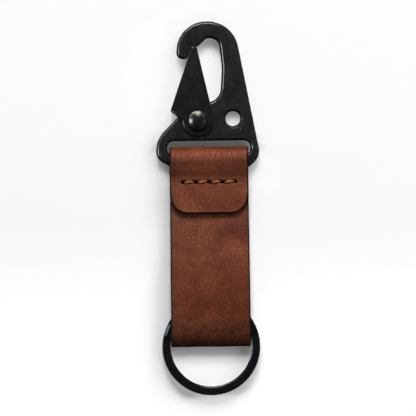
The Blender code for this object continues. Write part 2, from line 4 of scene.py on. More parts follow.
import bmesh
import bpy
import numpy as np
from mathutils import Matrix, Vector


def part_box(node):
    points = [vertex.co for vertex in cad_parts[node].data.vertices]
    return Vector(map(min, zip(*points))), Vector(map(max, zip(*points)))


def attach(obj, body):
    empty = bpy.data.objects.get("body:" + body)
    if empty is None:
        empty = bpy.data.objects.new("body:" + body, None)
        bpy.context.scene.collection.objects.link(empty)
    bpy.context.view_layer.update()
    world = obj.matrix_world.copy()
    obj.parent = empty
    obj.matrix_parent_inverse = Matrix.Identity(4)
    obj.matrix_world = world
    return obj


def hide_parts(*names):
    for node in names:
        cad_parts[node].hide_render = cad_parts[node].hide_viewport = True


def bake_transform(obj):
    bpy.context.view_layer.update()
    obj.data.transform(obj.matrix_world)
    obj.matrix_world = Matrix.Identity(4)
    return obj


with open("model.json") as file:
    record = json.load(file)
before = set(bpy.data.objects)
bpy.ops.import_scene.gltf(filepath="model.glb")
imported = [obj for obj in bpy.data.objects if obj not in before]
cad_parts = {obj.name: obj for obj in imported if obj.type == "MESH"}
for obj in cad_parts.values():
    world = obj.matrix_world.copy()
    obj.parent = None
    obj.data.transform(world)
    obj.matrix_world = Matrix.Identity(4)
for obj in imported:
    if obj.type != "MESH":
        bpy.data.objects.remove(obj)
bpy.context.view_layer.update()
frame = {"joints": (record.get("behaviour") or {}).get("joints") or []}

mm = 0.001
cutOverrun = 1.0 * mm  # how far a cutter runs past what it cuts
samePlace = 0.004 * mm  # points nearer than this are one
white = (1.0, 1.0, 1.0)


# Shader sockets as values

class Wire:  # a socket that can be added, multiplied and so on
    def __init__(self, finish, socket):
        self.finish = finish
        self.socket = socket

    def sum(self, operation, first, second):
        kinds = [part.socket.type for part in (first, second) if isinstance(part, Wire)]
        wide = any(kind in ("VECTOR", "RGBA") for kind in kinds) or isinstance(second, tuple)
        if wide:
            first, second = [(part,) * 3 if isinstance(part, (int, float)) else part
                             for part in (first, second)]
        kind = "ShaderNodeVectorMath" if wide else "ShaderNodeMath"
        return self.finish.node(kind, {"operation": operation}, {0: first, 1: second})

    def __add__(self, other): return self.sum("ADD", self, other)
    def __radd__(self, other): return self.sum("ADD", other, self)
    def __sub__(self, other): return self.sum("SUBTRACT", self, other)
    def __rsub__(self, other): return self.sum("SUBTRACT", other, self)
    def __mul__(self, other): return self.sum("MULTIPLY", self, other)
    def __rmul__(self, other): return self.sum("MULTIPLY", other, self)


class Finish:  # one material, built round its Principled shader
    def __init__(self, name, fixed):
        self.material = bpy.data.materials.new(name)
        self.material.use_nodes = True
        self.tree = self.material.node_tree
        self.shader = self.tree.nodes["Principled BSDF"]
        for socket, value in fixed.items():
            self.shader.inputs[socket].default_value = value

    def node(self, kind, settings, sockets, output=0):
        made = self.tree.nodes.new(kind)
        for name, value in settings.items():
            setattr(made, name, value)
        for name, value in sockets.items():
            if isinstance(value, Wire):
                self.tree.links.new(value.socket, made.inputs[name])
            else:
                made.inputs[name].default_value = value
        return Wire(self, made.outputs[output])

    def attribute(self, name, output="Fac"):
        return self.node("ShaderNodeAttribute", {"attribute_name": name}, {}, output)

    def place(self):
        return self.node("ShaderNodeTexCoord", {}, {}, "Object")

    def noise(self, where, size, detail, roughness, distortion=0.0):
        sockets = {"Vector": where, "Scale": 1 / size, "Detail": detail, "Roughness": roughness,
                   "Distortion": distortion}
        return self.node("ShaderNodeTexNoise", {}, sockets, "Fac")

    def cells(self, where, size, feature="F1", output="Distance"):
        sockets = {"Vector": where, "Scale": 1 / size}
        return self.node("ShaderNodeTexVoronoi", {"feature": feature}, sockets, output)

    def spread(self, value, low, high, toLow=0.0, toHigh=1.0):
        settings = {"interpolation_type": "SMOOTHSTEP", "clamp": True}
        sockets = {"Value": value, "From Min": low, "From Max": high, "To Min": toLow, "To Max": toHigh}
        return self.node("ShaderNodeMapRange", settings, sockets)

    def mix(self, factor, first, second):
        pair = [colour if isinstance(colour, Wire) else (*colour, 1.0) for colour in (first, second)]
        return self.node("ShaderNodeMix", {"data_type": "RGBA"}, {0: factor, 6: pair[0], 7: pair[1]}, 2)

    def bump(self, height, distance, strength):
        sockets = {"Height": height, "Distance": distance, "Strength": strength}
        return self.node("ShaderNodeBump", {}, sockets)

    def length(self, vector):
        return self.node("ShaderNodeVectorMath", {"operation": "LENGTH"}, {0: vector}, "Value")

    def split(self, kind, value, part):
        return self.node("ShaderNodeSeparate" + kind, {}, {0: value}, part)

    def feed(self, **varying):
        names = {"colour": "Base Color", "roughness": "Roughness", "normal": "Normal",
                 "emission": "Emission Color"}
        for name, wire in varying.items():
            self.tree.links.new(wire.socket, self.shader.inputs[names[name]])
        return self


# Outlines and solids

def direction(angle):
    return Vector((cos(angle), sin(angle)))


def arcPoints(centre, radius, start, turn, step):
    count = max(2, ceil(abs(turn) / step))
    return [centre + direction(start + turn * k / count) * radius for k in range(count + 1)]


def circle(centre, radius, step):
    return arcPoints(centre, radius, 0, 2 * pi, step)[:-1]


def slotLoop(first, last, radius, step):
    lie = atan2(last.y - first.y, last.x - first.x)
    return arcPoints(last, radius, lie - pi / 2, pi, step) + arcPoints(first, radius, lie + pi / 2, pi, step)


def filletReach(corners, i):
    here = Vector(corners[i][:2])
    before = Vector(corners[i - 1][:2]) - here
    after = Vector(corners[(i + 1) % len(corners)][:2]) - here
    half = before.angle(after) / 2
    return corners[i][2] / tan(half), half


def roundedLoop(corners, step):  # corners as (x, y, radius)
    points = []
    reaches = [filletReach(corners, i)[0] for i in range(len(corners))]
    for i, (x, y, radius) in enumerate(corners):
        corner = Vector((x, y))
        if radius == 0:
            points.append(corner)
            continue
        reach, half = filletReach(corners, i)
        ends = (i - 1, (i + 1) % len(corners))
        reach *= min([1.0] + [(Vector(corners[j][:2]) - corner).length / (reach + reaches[j]) for j in ends])
        before, after = [(Vector(corners[j][:2]) - corner).normalized() for j in ends]
        centre = corner + (before + after).normalized() * (reach / cos(half))
        first, last = corner + before * reach - centre, corner + after * reach - centre
        turn = atan2(first.x * last.y - first.y * last.x, first.dot(last))
        points += arcPoints(centre, reach * tan(half), atan2(first.y, first.x), turn, step)
    return [p for p, q in zip(points, points[1:] + points[:1]) if (p - q).length > samePlace]


def turnedTo(loop, anticlockwise):
    area = sum(a.x * b.y - b.x * a.y for a, b in zip(loop, loop[1:] + loop[:1]))
    return loop if (area > 0) == anticlockwise else loop[::-1]


def insetLoop(loop, distance):  # into the material, which lies on the loop's left
    moved = []
    for i, here in enumerate(loop):
        back = (here - loop[i - 1]).normalized()
        on = (loop[(i + 1) % len(loop)] - here).normalized()
        moved.append(here + Vector((-back.y - on.y, back.x + on.x)) * (distance / (1 + back.dot(on))))
    return moved


def divided(loop, longest):
    fine = []
    for a, b in zip(loop, loop[1:] + loop[:1]):
        count = max(1, ceil((b - a).length / longest))
        fine += [a.lerp(b, k / count) for k in range(count)]
    return fine


def smooth(mesh, sharp):
    mesh.shade_smooth()
    mesh.set_sharp_from_angle(angle=radians(sharp))


def finishedObject(name, bm, finish=None, sharp=40):
    bmesh.ops.recalc_face_normals(bm, faces=bm.faces)
    mesh = bpy.data.meshes.new(name)
    bm.to_mesh(mesh)
    bm.free()
    smooth(mesh, sharp)
    piece = bpy.data.objects.new(name, mesh)
    bpy.context.scene.collection.objects.link(piece)
    if finish:
        mesh.materials.append(finish.material)
    return piece


def joinRings(bm, lower, upper):
    for i in range(len(lower)):
        bm.faces.new((lower[i - 1], lower[i], upper[i], upper[i - 1]))


def stampedSolid(name, outer, holes, low, high, rimAt=None, finish=None):
    # rimAt gives an edge's section at a point, as (inwards, down) pairs; without it the edges are square
    bm = bmesh.new()
    rims = ([], [])
    for loop in [turnedTo(outer, True)] + [turnedTo(hole, False) for hole in holes]:
        inner = insetLoop(loop, mm)
        sections = [rimAt(p) if rimAt else [(0.0, 0.0)] for p in loop]
        layers = []
        for k in range(len(sections[0])):
            places = zip(loop, inner, sections)
            layers.append([(p.lerp(q, section[k][0] / mm), section[k][1]) for p, q, section in places])
        rings = [[bm.verts.new((*p, low + down)) for p, down in layer] for layer in reversed(layers)]
        rings += [[bm.verts.new((*p, high - down)) for p, down in layer] for layer in layers]
        for below, above in zip(rings, rings[1:]):
            joinRings(bm, below, above)
        for rim, ring in zip(rims, (rings[0], rings[-1])):
            rim += [bm.edges.get((a, b)) for a, b in zip(ring, ring[1:] + ring[:1])]
    for rim in rims:
        bmesh.ops.triangle_fill(bm, use_beauty=True, edges=rim)
    return finishedObject(name, bm, finish)


def sweptSolid(name, sections, finish=None, sharp=40):
    bm = bmesh.new()
    rings = [[bm.verts.new(p) for p in section] for section in sections]
    for lower, upper in zip(rings, rings[1:]):
        joinRings(bm, lower, upper)
    bm.faces.new(rings[0])
    bm.faces.new(rings[-1][::-1])
    return finishedObject(name, bm, finish, sharp)


def latheSolid(name, profile, centre, finish, steps=96):
    bm = bmesh.new()
    verts = [bm.verts.new((centre.x + radius, centre.y, height)) for radius, height in profile]
    edges = [bm.edges.new(pair) for pair in zip(verts, verts[1:])]
    bmesh.ops.spin(bm, geom=verts + edges, cent=(*centre, 0.0), axis=(0, 0, 1), angle=2 * pi, steps=steps)
    bmesh.ops.remove_doubles(bm, verts=bm.verts, dist=samePlace)
    return finishedObject(name, bm, finish)


def carve(piece, cutters, sharp=40):  # takes the cutters out of the piece for good
    for cutter in cutters:
        modifier = piece.modifiers.new("carve", "BOOLEAN")
        modifier.operation = "DIFFERENCE"
        modifier.object = cutter
        modifier.solver = "MANIFOLD"
    bpy.context.view_layer.update()
    seen = piece.evaluated_get(bpy.context.evaluated_depsgraph_get())
    carved = bpy.data.meshes.new_from_object(seen)
    piece.modifiers.clear()
    piece.data = carved
    smooth(carved, sharp)
    for cutter in cutters:
        bpy.data.objects.remove(cutter, do_unlink=True)


def standIn(piece, node, body):  # the piece takes a CAD node's place
    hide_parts(node)
    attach(piece, body)


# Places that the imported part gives

joints = {joint["name"]: joint for joint in frame["joints"]}
rivet = Vector(joints["gate_pivot"]["pos_m"][:2])
barAxis = Vector(joints["hook_swing"]["pos_m"])
ringCentre = Vector(joints["ring_spin"]["pos_m"])
plateLow, plateHigh = [Vector(corner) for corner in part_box("hook_plate")]
strapLow, strapHigh = [Vector(corner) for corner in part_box("leather_strap")]
gateLow, gateHigh = [Vector(corner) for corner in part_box("gate_lever")]
rivetLow, rivetHigh = [Vector(corner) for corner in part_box("gate_rivet")]
ringLow, ringHigh = [Vector(corner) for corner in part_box("key_ring")]
midLevel = barAxis.z


# Leather strap

strapLook = {
    "thickness": 2.0 * mm,
    "widthAtRing": 25.0 * mm,
    "widthAtHook": 24.6 * mm,
    "edge": 0.55 * mm,
    "layerGap": 0.1 * mm,
    "flapLength": 21.2 * mm,
    "flapCorner": 5.6 * mm,
    "humpLength": 3.0 * mm,
    "ringRun": 15.6 * mm,
    "slopeLength": 20.0 * mm,
    "barHeight": 4.3 * mm,
    "frontEndGap": 0.6 * mm,
    "columns": 84,
    "stationStep": 0.35 * mm,
    "rowDip": (0.16 * mm, 0.75 * mm),  # depth and reach of the hollow along the stitching
    "holeDip": (0.3 * mm, 0.8 * mm, 0.6 * mm),  # the same at each hole, across and along the strap
    # Depth of the groove at the back, half its width, how far it goes past the outer holes, and its softness
    "backGroove": (0.95 * mm, 1.5 * mm, 1.2 * mm, 0.5 * mm),
    "wave": (0.07 * mm, 2.0 * mm, 4.1 * mm, 7.3 * mm),  # height, way from the edges, steps across and along
    "backFacing": -0.7,  # the normal's height where the leather runs down the back
    "warp": (1.3 * mm, 0.9 * mm),
    "grain": (  # size, detail, roughness and distortion of its clouds, mottles, specks and fine grain
        (10 * mm, 3.0, 0.5, 0.5), (2.3 * mm, 4.0, 0.62, 0.4), (0.62 * mm, 3.0, 0.65), (0.27 * mm, 2.0, 0.6),
    ),
    "vein": 1.25 * mm,
    "pore": 0.62 * mm,
    "bump": (0.13 * mm, 0.8),
    "colour": (0.136, 0.0355, 0.0180),
    "dark": (0.045, 0.0105, 0.0070),
    "light": (0.290, 0.088, 0.036),
    # Courses by mm along the strap. The patina course is partly the leather's own tone and partly painted
    # light: a painted sheen where the fold over the bar begins, painted shade on the rise before it and on
    # the fold round the ring, growing darker along the front towards the ring, and painted light that lifts
    # the flap's shadow on the front just below its edge. The steep part of the fold over the bar, the crown,
    # is drier, and just before it a painted glint lies on the grain.
    "patinaAndPaintedLight": {
        0: 1.45, 1.2: 1.20, 3: 1.10, 6: 1.17, 9: 1.19, 12: 1.03, 14.5: 0.73, 16.2: 0.76, 17.2: 0.90, 18: 1.14,
        18.9: 1.18, 19.5: 1.02, 20.3: 0.88, 21.5: 0.80, 26: 0.90, 78: 0.6, 88: 0.28, 90: 0.34, 91.3: 0.42,
        93.8: 0.54, 97.5: 0.64, 102: 0.74, 107: 0.77, 112: 0.86, 118: 1.12, 124: 1.18, 125.5: 1.38, 127: 1.78,
        142: 1.8,
    },
    "coolness": {
        0: 0.40, 12: 0.35, 16: 0.25, 18: 0.0, 84: 0.0, 87: 0.4, 91: 0.4, 95: 0.0, 104: 0.0, 112: 0.12,
        118: 0.40, 124: 0.62, 127: 0.9, 142: 0.9,
    },
    "crown": {0: 0, 18.8: 0, 19.8: 1, 25: 1, 29: 0, 142: 0},
    "glint": {0: 0, 16.8: 0, 17.6: 1, 19.0: 1, 19.9: 0, 142: 0},
    "front": (85, 10),  # by mm along: where the front begins, and over what run
    "cool": (0.68, 0.90, 1.08),
    "leftEdge": (4.0 * mm, 0.75, 0.06),  # reach, coolness and darkness of the band along it
    "rightDark": 0.09,  # for each 10 mm to the right of the middle
    "glintColour": (0.60, 0.30, 0.19),
    "glintSlant": radians(-32),
    "glintStretch": 0.42,
    "glintGrain": (0.22 * mm, 2.0, 0.5),
    "glintMix": 0.27,
    "crownTint": (1.0, 0.84, 0.73),
    # The dark rim is the burnished edge; at the flap's end it is widened with painted shade at the flap's
    # edge
    "rim": (0.009, 0.0045, 0.0035),
    "rimReach": 1.0 * mm,
    "flapRimAndShade": (0.38, 7.0 * mm, 2.0 * mm),  # how much wider it is at the flap's end, up to where, how softly
    "flesh": (0.110, 0.055, 0.034),
    "fleshFrom": 0.3 * mm,
}

stitchLook = {
    "holes": 5,
    "pitch": 4.2 * mm,
    "length": 3.0 * mm,
    "rise": 0.34 * mm,
    "fromFold": 11.1 * mm,
    "slitRadius": 0.46 * mm,
    "slitStraight": 1.0 * mm,  # how far each end of a slit runs straight in
    "slitBareEnd": 0.05,  # share of a strand that the outer slits run past their middle
    "thread": 0.74 * mm,
    "plies": 3,
    "plyShares": (0.78, 0.22),  # of the thread's radius: its core, and the swell of its plies
    "plyPower": 0.6,
    "turn": 3.6 * mm,  # along the thread for one turn of its plies
    "around": 21,
    "step": 0.09 * mm,
    "proud": 0.16 * mm,  # the thread's middle above the flap in front, and above the table behind
    "behind": 0.50 * mm,
    "frontDive": 0.75 * mm,
    "backDive": 0.55 * mm,
    "bowShares": ((0, 1), (0.12, 0.35), (0.3, 0), (0.5, 0), (0.7, 0), (0.88, 0.35), (1, 1)),
    "fibre": (0.10 * mm, 2.0, 0.6),
    "bump": (0.05 * mm, 0.6),
    "backHalf": (0.52 * mm, 0.57 * mm),
    "colour": (0.22, 0.085, 0.030),
    "shade": (0.035, 0.013, 0.006),
    "light": (0.74, 0.35, 0.14),
}

foldRadius = midLevel
topFold, bottomFold = strapHigh.y, strapLow.y
backLevel = strapLook["thickness"] / 2
frontLevel = backLevel + strapLook["thickness"] + strapLook["layerGap"]
flapLevel = frontLevel + strapLook["thickness"] + strapLook["layerGap"]
proudLevel = 2 * midLevel - backLevel
flapTop = flapLevel + strapLook["thickness"] / 2
stitchRow = topFold - stitchLook["fromFold"]
barBottom = barAxis.y - strapLook["barHeight"] / 2


def ease(start, end, share):
    return start + (end - start) * share * share * (3 - 2 * share)


def strapHalf(y):
    share = (y - bottomFold) / (topFold - bottomFold)
    return (strapLook["widthAtRing"] + (strapLook["widthAtHook"] - strapLook["widthAtRing"]) * share) / 2


def lengthsAlong(line):
    return np.concatenate(([0.0], np.cumsum(np.linalg.norm(np.diff(line, axis=0), axis=1))))


def placesAt(stops, along, line):
    return np.column_stack([np.interp(stops, along, values) for values in line.T])


def strapRoute():  # the leather's centre line, finely and evenly divided, as (y, z)
    look = strapLook
    bend = foldRadius - look["thickness"] / 2
    topCentre = Vector((topFold - foldRadius, midLevel))
    bottomCentre = Vector((bottomFold + foldRadius, midLevel))

    def slope(start, length, first, last):  # from one level to another
        return [Vector((start + length * s, ease(first, last, s))) for s in [k / 24 for k in range(25)]]

    coarse = [Vector((topFold - look["flapLength"], flapLevel))]
    coarse += slope(barBottom - look["humpLength"], look["humpLength"], flapLevel, proudLevel)
    coarse += arcPoints(topCentre, bend, pi / 2, -pi, radians(4))
    coarse += arcPoints(bottomCentre, bend, -pi / 2, -pi, radians(4))
    coarse += slope(bottomFold + look["ringRun"], look["slopeLength"], proudLevel, frontLevel)
    coarse.append(Vector((barBottom - look["frontEndGap"], frontLevel)))
    line = np.array([tuple(p) for p in coarse])
    along = lengthsAlong(line)
    edge, corner = look["edge"], look["flapCorner"]
    ends = [edge * (1 - cos(radians(15 * k))) for k in range(7)]
    stops = ends + [corner * (1 - cos(radians(6 * k))) for k in range(4, 16)]
    stops += list(np.arange(corner + edge, along[-1] - edge, look["stationStep"]))
    stops += [along[-1] - end for end in reversed(ends)]
    stops = np.unique(np.round(stops, 8))
    return stops, placesAt(stops, along, line)


def holeMiddle(hole):
    return Vector(((hole - (stitchLook["holes"] - 1) / 2) * stitchLook["pitch"], stitchRow))


def smoothShare(values):
    values = np.clip(values, 0.0, 1.0)
    return values * values * (3 - 2 * values)


def strapPoints():
    stops, line = strapRoute()
    edge, corner, thick = strapLook["edge"], strapLook["flapCorner"], strapLook["thickness"] / 2
    tangent = np.gradient(line, stops, axis=0)
    tangent /= np.linalg.norm(tangent, axis=1)[:, None]
    normal = np.column_stack((-tangent[:, 1], tangent[:, 0]))
    half = np.array([strapHalf(y) for y in line[:, 0]])
    inCorner = np.clip(corner - stops, 0.0, corner)
    width = half - (corner - np.sqrt(corner**2 - inCorner**2))
    fine = [edge * (1 - cos(radians(15 * k))) for k in range(6)]
    shares = np.linspace(-1, 1, strapLook["columns"] + 1)
    middle = shares[None, :] * (width - edge)[:, None]
    left = -width[:, None] + np.array(fine)[None, :]
    x = np.hstack((left, middle, -left[:, ::-1]))
    toSide = half[:, None] - np.abs(x)
    toEnd = np.minimum(stops, stops[-1] - stops)[:, None] + 0 * x
    outFromCorner = np.hypot(np.clip(corner - toSide, 0, None), np.clip(corner - stops[:, None], 0, None))
    inRound = (toSide < corner) & (stops[:, None] < corner)
    rim = np.clip(np.where(inRound, corner - outFromCorner, np.minimum(toSide, toEnd)), 0.0, None)
    short = np.clip(edge - rim, 0.0, edge)
    height = thick - edge + np.sqrt(edge**2 - short**2)
    return stops, line, normal, x, rim, height


def stitchDraw(x, y, onFlap, onBack):  # how far the thread has pulled the leather in
    look = strapLook
    outerHole = abs(holeMiddle(0).x)
    depth, reach = look["rowDip"]
    row = np.exp(-(((y - stitchRow) / reach) ** 2)) * (np.abs(x) < outerHole)
    dip = depth * row
    depth, across, along = look["holeDip"]
    for hole in range(stitchLook["holes"]):
        away = ((x - holeMiddle(hole).x) / across) ** 2 + ((y - stitchRow) / along) ** 2
        dip = dip + depth * np.exp(-away)
    depth, half, past, soft = look["backGroove"]
    beside = smoothShare((half - np.abs(y - stitchRow)) / soft)
    beside = beside * smoothShare((outerHole + past - np.abs(x)) / soft)
    return dip * onFlap + depth * beside * onBack


def makeLeather():
    look = strapLook
    finish = Finish("pull-up leather", {"Specular IOR Level": 0.07, "Specular Tint": (1.0, 0.66, 0.46, 1.0)})
    lay = finish.attribute("lay", "Vector")
    names = ("rim", "flesh", "patinaAndPaintedLight", "cool", "crown", "glint")
    rim, flesh, patinaAndPaintedLight, cool, crown, glint = [finish.attribute(name) for name in names]
    size, reach = look["warp"]
    sockets = {"Vector": lay, "Scale": 1 / size, "Detail": 2.0}
    warp = finish.node("ShaderNodeTexNoise", {}, sockets, "Color")
    bent = lay + (warp - (0.5, 0.5, 0.5)) * reach
    cloud, mottle, speck, fine = [finish.noise(lay, *grain) for grain in look["grain"]]
    vein = 1.0 - finish.spread(finish.cells(bent, look["vein"], "DISTANCE_TO_EDGE"), 0.01, 0.16)
    pore = finish.spread(finish.cells(bent, look["pore"]), 0.08, 0.42)
    # where the course along the strap is dark, partly with painted shade, the mottles and veins show more and
    # the tone is darker still
    darkAlong = 1.0 - finish.spread(patinaAndPaintedLight, 0.35, 0.9)
    tone = cloud * 0.64 + mottle * (0.19 + darkAlong * 0.5) + speck * 0.85 + fine * 1.08
    tone = tone + vein * (0.05 + darkAlong * 0.16) - darkAlong * 0.26 - 0.86
    colour = finish.mix(finish.spread(tone, 0.14, 0.58), look["dark"], look["colour"])
    colour = finish.mix(finish.spread(tone, 0.50, 0.98), colour, look["light"])
    # the patina course, with its painted sheen and painted shade, times the cooler tint
    colour = colour * patinaAndPaintedLight * finish.mix(cool, white, look["cool"])
    colour = colour * finish.mix(crown, white, look["crownTint"])
    # painted highlight: slanted light speckles on the grain, just before the fold's crown
    sockets = {"Vector": lay, "Rotation": (0, 0, look["glintSlant"]), "Scale": (look["glintStretch"], 1, 1)}
    slanted = finish.node("ShaderNodeMapping", {}, sockets)
    sparkle = glint * finish.spread(finish.noise(slanted, *look["glintGrain"]), 0.50, 0.66)
    colour = finish.mix(sparkle * look["glintMix"], colour, look["glintColour"])
    colour = finish.mix(flesh * 0.85, colour, look["flesh"])
    # the dark rim: the burnished edge, widened at the flap's end with painted shade
    burnishAndShade = 1.0 - finish.spread(rim + speck * 0.12, 0.34, 0.64)
    colour = finish.mix(burnishAndShade, colour, look["rim"])
    grain = pore * 0.35 + speck * 0.5 + fine * 0.25
    normal = finish.bump(grain, *look["bump"])
    rough = finish.spread(speck, 0.3, 0.75, 0.46, 0.62) + flesh * 0.3 - burnishAndShade * 0.08 + crown * 0.35
    return finish.feed(colour=colour, roughness=rough, normal=normal)


def makeStrap(finish):
    look = strapLook
    stops, line, normal, x, rim, height = strapPoints()
    y = line[:, 0][:, None] + 0 * x
    goingBack = (normal[:, 1] < look["backFacing"])[:, None]
    onFlap = (stops < look["flapLength"])[:, None] * 1.0
    draw = stitchDraw(x, y, onFlap, goingBack * 1.0)
    high, away, across, along = look["wave"]
    wave = high * np.sin(x / across + stops[:, None] / along) * smoothShare(rim / away)
    outer = height - draw - np.abs(wave) * (1 - goingBack)
    lift = []
    for offset in (outer, -height):
        yz = line[:, None, :] + normal[:, None, :] * offset[:, :, None]
        lift.append(np.dstack((x, yz)))
    bm = bmesh.new()
    points = np.concatenate((lift[0], lift[1][:, ::-1]), axis=1)
    rings = [[bm.verts.new(p) for p in ring] for ring in points]
    for lower, upper in zip(rings, rings[1:]):
        joinRings(bm, lower, upper)
    for ring, way in ((rings[0], 1), (rings[-1], -1)):
        for j in range(x.shape[1] - 1):
            bm.faces.new((ring[j], ring[-1 - j], ring[-2 - j], ring[j + 1])[::way])
    strap = finishedObject("leatherStrap", bm, finish, 50)
    both = np.concatenate((x, x[:, ::-1]), axis=1)
    lay = np.dstack((both, stops[:, None] + 0 * both, 0 * both)).reshape(-1, 3)
    rims = np.concatenate((rim, rim[:, ::-1]), axis=1).reshape(-1)
    fleshy = np.concatenate((0 * x, 0 * x + 1), axis=1).reshape(-1)
    courses = [look[name] for name in ("patinaAndPaintedLight", "coolness", "crown", "glint")]
    patinaAndPaintedLight, cool, crown, glint = [np.interp(stops / mm, list(course), list(course.values()))[:, None]
                                  for course in courses]
    start, run = look["front"]
    inFront = smoothShare((stops[:, None] / mm - start) / run) + 0 * both
    reach, cooler, darker = look["leftEdge"]
    leftEdge = smoothShare(1 - (both - both.min(axis=1)[:, None]) / reach)
    cool = np.clip(cool + leftEdge * cooler * (inFront + onFlap), 0, 1)
    patinaAndPaintedLight = patinaAndPaintedLight * (1 - look["rightDark"] * inFront * both / (10 * mm))
    patinaAndPaintedLight = patinaAndPaintedLight * (1 - darker * leftEdge * (inFront + onFlap))
    strap.visible_glossy = False
    addAttribute(strap, "lay", lay)
    more, upTo, soft = look["flapRimAndShade"]
    wide = 1 - more * smoothShare((upTo - stops) / soft)[:, None] + 0 * both
    addAttribute(strap, "rim", np.clip(rims * wide.reshape(-1) / look["rimReach"], 0, 1))
    addAttribute(strap, "flesh", fleshy * (rims > look["fleshFrom"]))
    for name, values in (("patinaAndPaintedLight", patinaAndPaintedLight), ("cool", cool), ("crown", crown), ("glint", glint)):
        addAttribute(strap, name, (values + 0 * both).reshape(-1))
    carve(strap, [stitchCutter(hole) for hole in range(stitchLook["holes"])], 50)
    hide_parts("leather_strap")
    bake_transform(strap)


def addAttribute(piece, name, values):  # a number or a vector for each point
    values = np.ascontiguousarray(values, dtype=np.float32)
    kind, field = ("FLOAT", "value") if values.ndim == 1 else ("FLOAT_VECTOR", "vector")
    attribute = piece.data.attributes.new(name, kind, "POINT")
    attribute.data.foreach_set(field, values.reshape(-1))


def leftStrands():  # from a hole's middle to its left strand, behind and in front
    look = stitchLook
    front = Vector((look["length"] - look["pitch"] - look["thread"], look["rise"])) / 2
    back = Vector((-look["backHalf"][0], look["backHalf"][1]))
    return back, front


def stitchCutter(hole):
    back, front = leftStrands()
    middle = holeMiddle(hole)
    last = stitchLook["holes"] - 1
    bareEnd, straight = stitchLook["slitBareEnd"], stitchLook["slitStraight"]
    levels = [(-cutOverrun, back), (straight, back)]
    levels += [(flapTop - straight, front), (flapTop + cutOverrun, front)]
    sections = []
    for z, left in levels:
        first = middle + (left if hole > 0 else -left * bareEnd)
        second = middle - (left if hole < last else -left * bareEnd)
        sections.append([(*p, z) for p in slotLoop(first, second, stitchLook["slitRadius"], radians(12))])
    return sweptSolid(f"stitchSlit{hole}", sections)


# Stitching

def stitchRoute():  # the thread's path as corner points, then smoothed
    look = stitchLook
    back, front = leftStrands()
    last = look["holes"] - 1
    high, low = flapTop + look["proud"], look["behind"]

    def stitch(start, end, level, dive):  # a stitch that bows a little between two holes
        run = end - start
        return [Vector((*(start + run * share), level + dive * fall)) for share, fall in look["bowShares"]]

    runs = []
    for needle in (0, 1):
        points = []
        for hole in range(last):
            inFront = (hole + needle) % 2 == 0
            here, there = holeMiddle(hole), holeMiddle(hole + 1)
            if inFront:
                points += stitch(here - front, there + front, high, -look["frontDive"])
            else:
                start = here - back if hole == 0 else here + back
                points += stitch(start, there - back, low, look["backDive"])
            inside = there + (front + back) / 2 if inFront else there - (front + back) / 2
            points.append(Vector((*inside, midLevel)))
        runs.append(points)
    return runs[0][::-1] + [Vector((*(holeMiddle(0) - front), midLevel))] + runs[1]


def smoothPath(points, step):  # a Catmull-Rom curve through the points, evenly divided
    places = np.array([tuple(p) for p in points])
    padded = np.vstack((2 * places[0] - places[1], places, 2 * places[-1] - places[-2]))
    fine = []
    for i in range(1, len(padded) - 2):
        a, b, c, d = padded[i - 1:i + 3]
        bend, twist = 2 * a - 5 * b + 4 * c - d, 3 * b - a - 3 * c + d
        for t in np.linspace(0, 1, 24, endpoint=False):
            fine.append(0.5 * (2 * b + (c - a) * t + bend * t * t + twist * t**3))
    fine = np.array(fine + [padded[-2]])
    along = lengthsAlong(fine)
    stops = np.linspace(0, along[-1], int(along[-1] / step))
    return stops, placesAt(stops, along, fine)


def makeThread(finish):
    look = stitchLook
    stops, path = smoothPath(stitchRoute(), look["step"])
    tangent = np.gradient(path, axis=0)
    tangent /= np.linalg.norm(tangent, axis=1)[:, None]
    side = np.cross(tangent[0], (0.0, 1.0, 0.0))
    sections = []
    radius, around, half = look["thread"] / 2, look["around"], look["plies"] / 2
    core, swell = look["plyShares"]
    for place, ahead, stop in zip(path, tangent, stops):
        side = side - ahead * np.dot(side, ahead)
        side /= np.linalg.norm(side)
        up = np.cross(ahead, side)
        section = []
        for k in range(around):
            angle = 2 * pi * k / around
            ply = abs(cos(half * (angle - 2 * pi * stop / look["turn"])))
            reach = radius * (core + swell * ply ** look["plyPower"])
            section.append(tuple(place + side * (reach * cos(angle)) + up * (reach * sin(angle))))
        sections.append(section)
    thread = sweptSolid("stitchThread", sections, finish, 180)
    turns = np.repeat(stops, around)
    angles = np.tile(2 * pi * np.arange(around) / around, len(stops))
    addAttribute(thread, "ply", np.abs(np.cos(half * (angles - 2 * pi * turns / look["turn"]))))
    addAttribute(thread, "run", np.column_stack((turns, angles * radius, 0 * turns)))
    standIn(thread, "stitch_thread", "strap")


def makeThreadFinish():
    finish = Finish("waxed tan thread", {"Specular IOR Level": 0.2})
    ply = finish.attribute("ply")
    run = finish.attribute("run", "Vector")
    fibre = finish.noise(run * (0.35, 1.0, 1.0), *stitchLook["fibre"])
    colour = finish.mix(finish.spread(ply, 0.05, 0.75), stitchLook["shade"], stitchLook["colour"])
    colour = finish.mix(finish.spread(fibre, 0.45, 0.8) * 0.6, colour, stitchLook["light"])
    normal = finish.bump(fibre, *stitchLook["bump"])
    return finish.feed(colour=colour, roughness=finish.spread(fibre, 0.3, 0.7, 0.42, 0.6), normal=normal)


# Hook plate

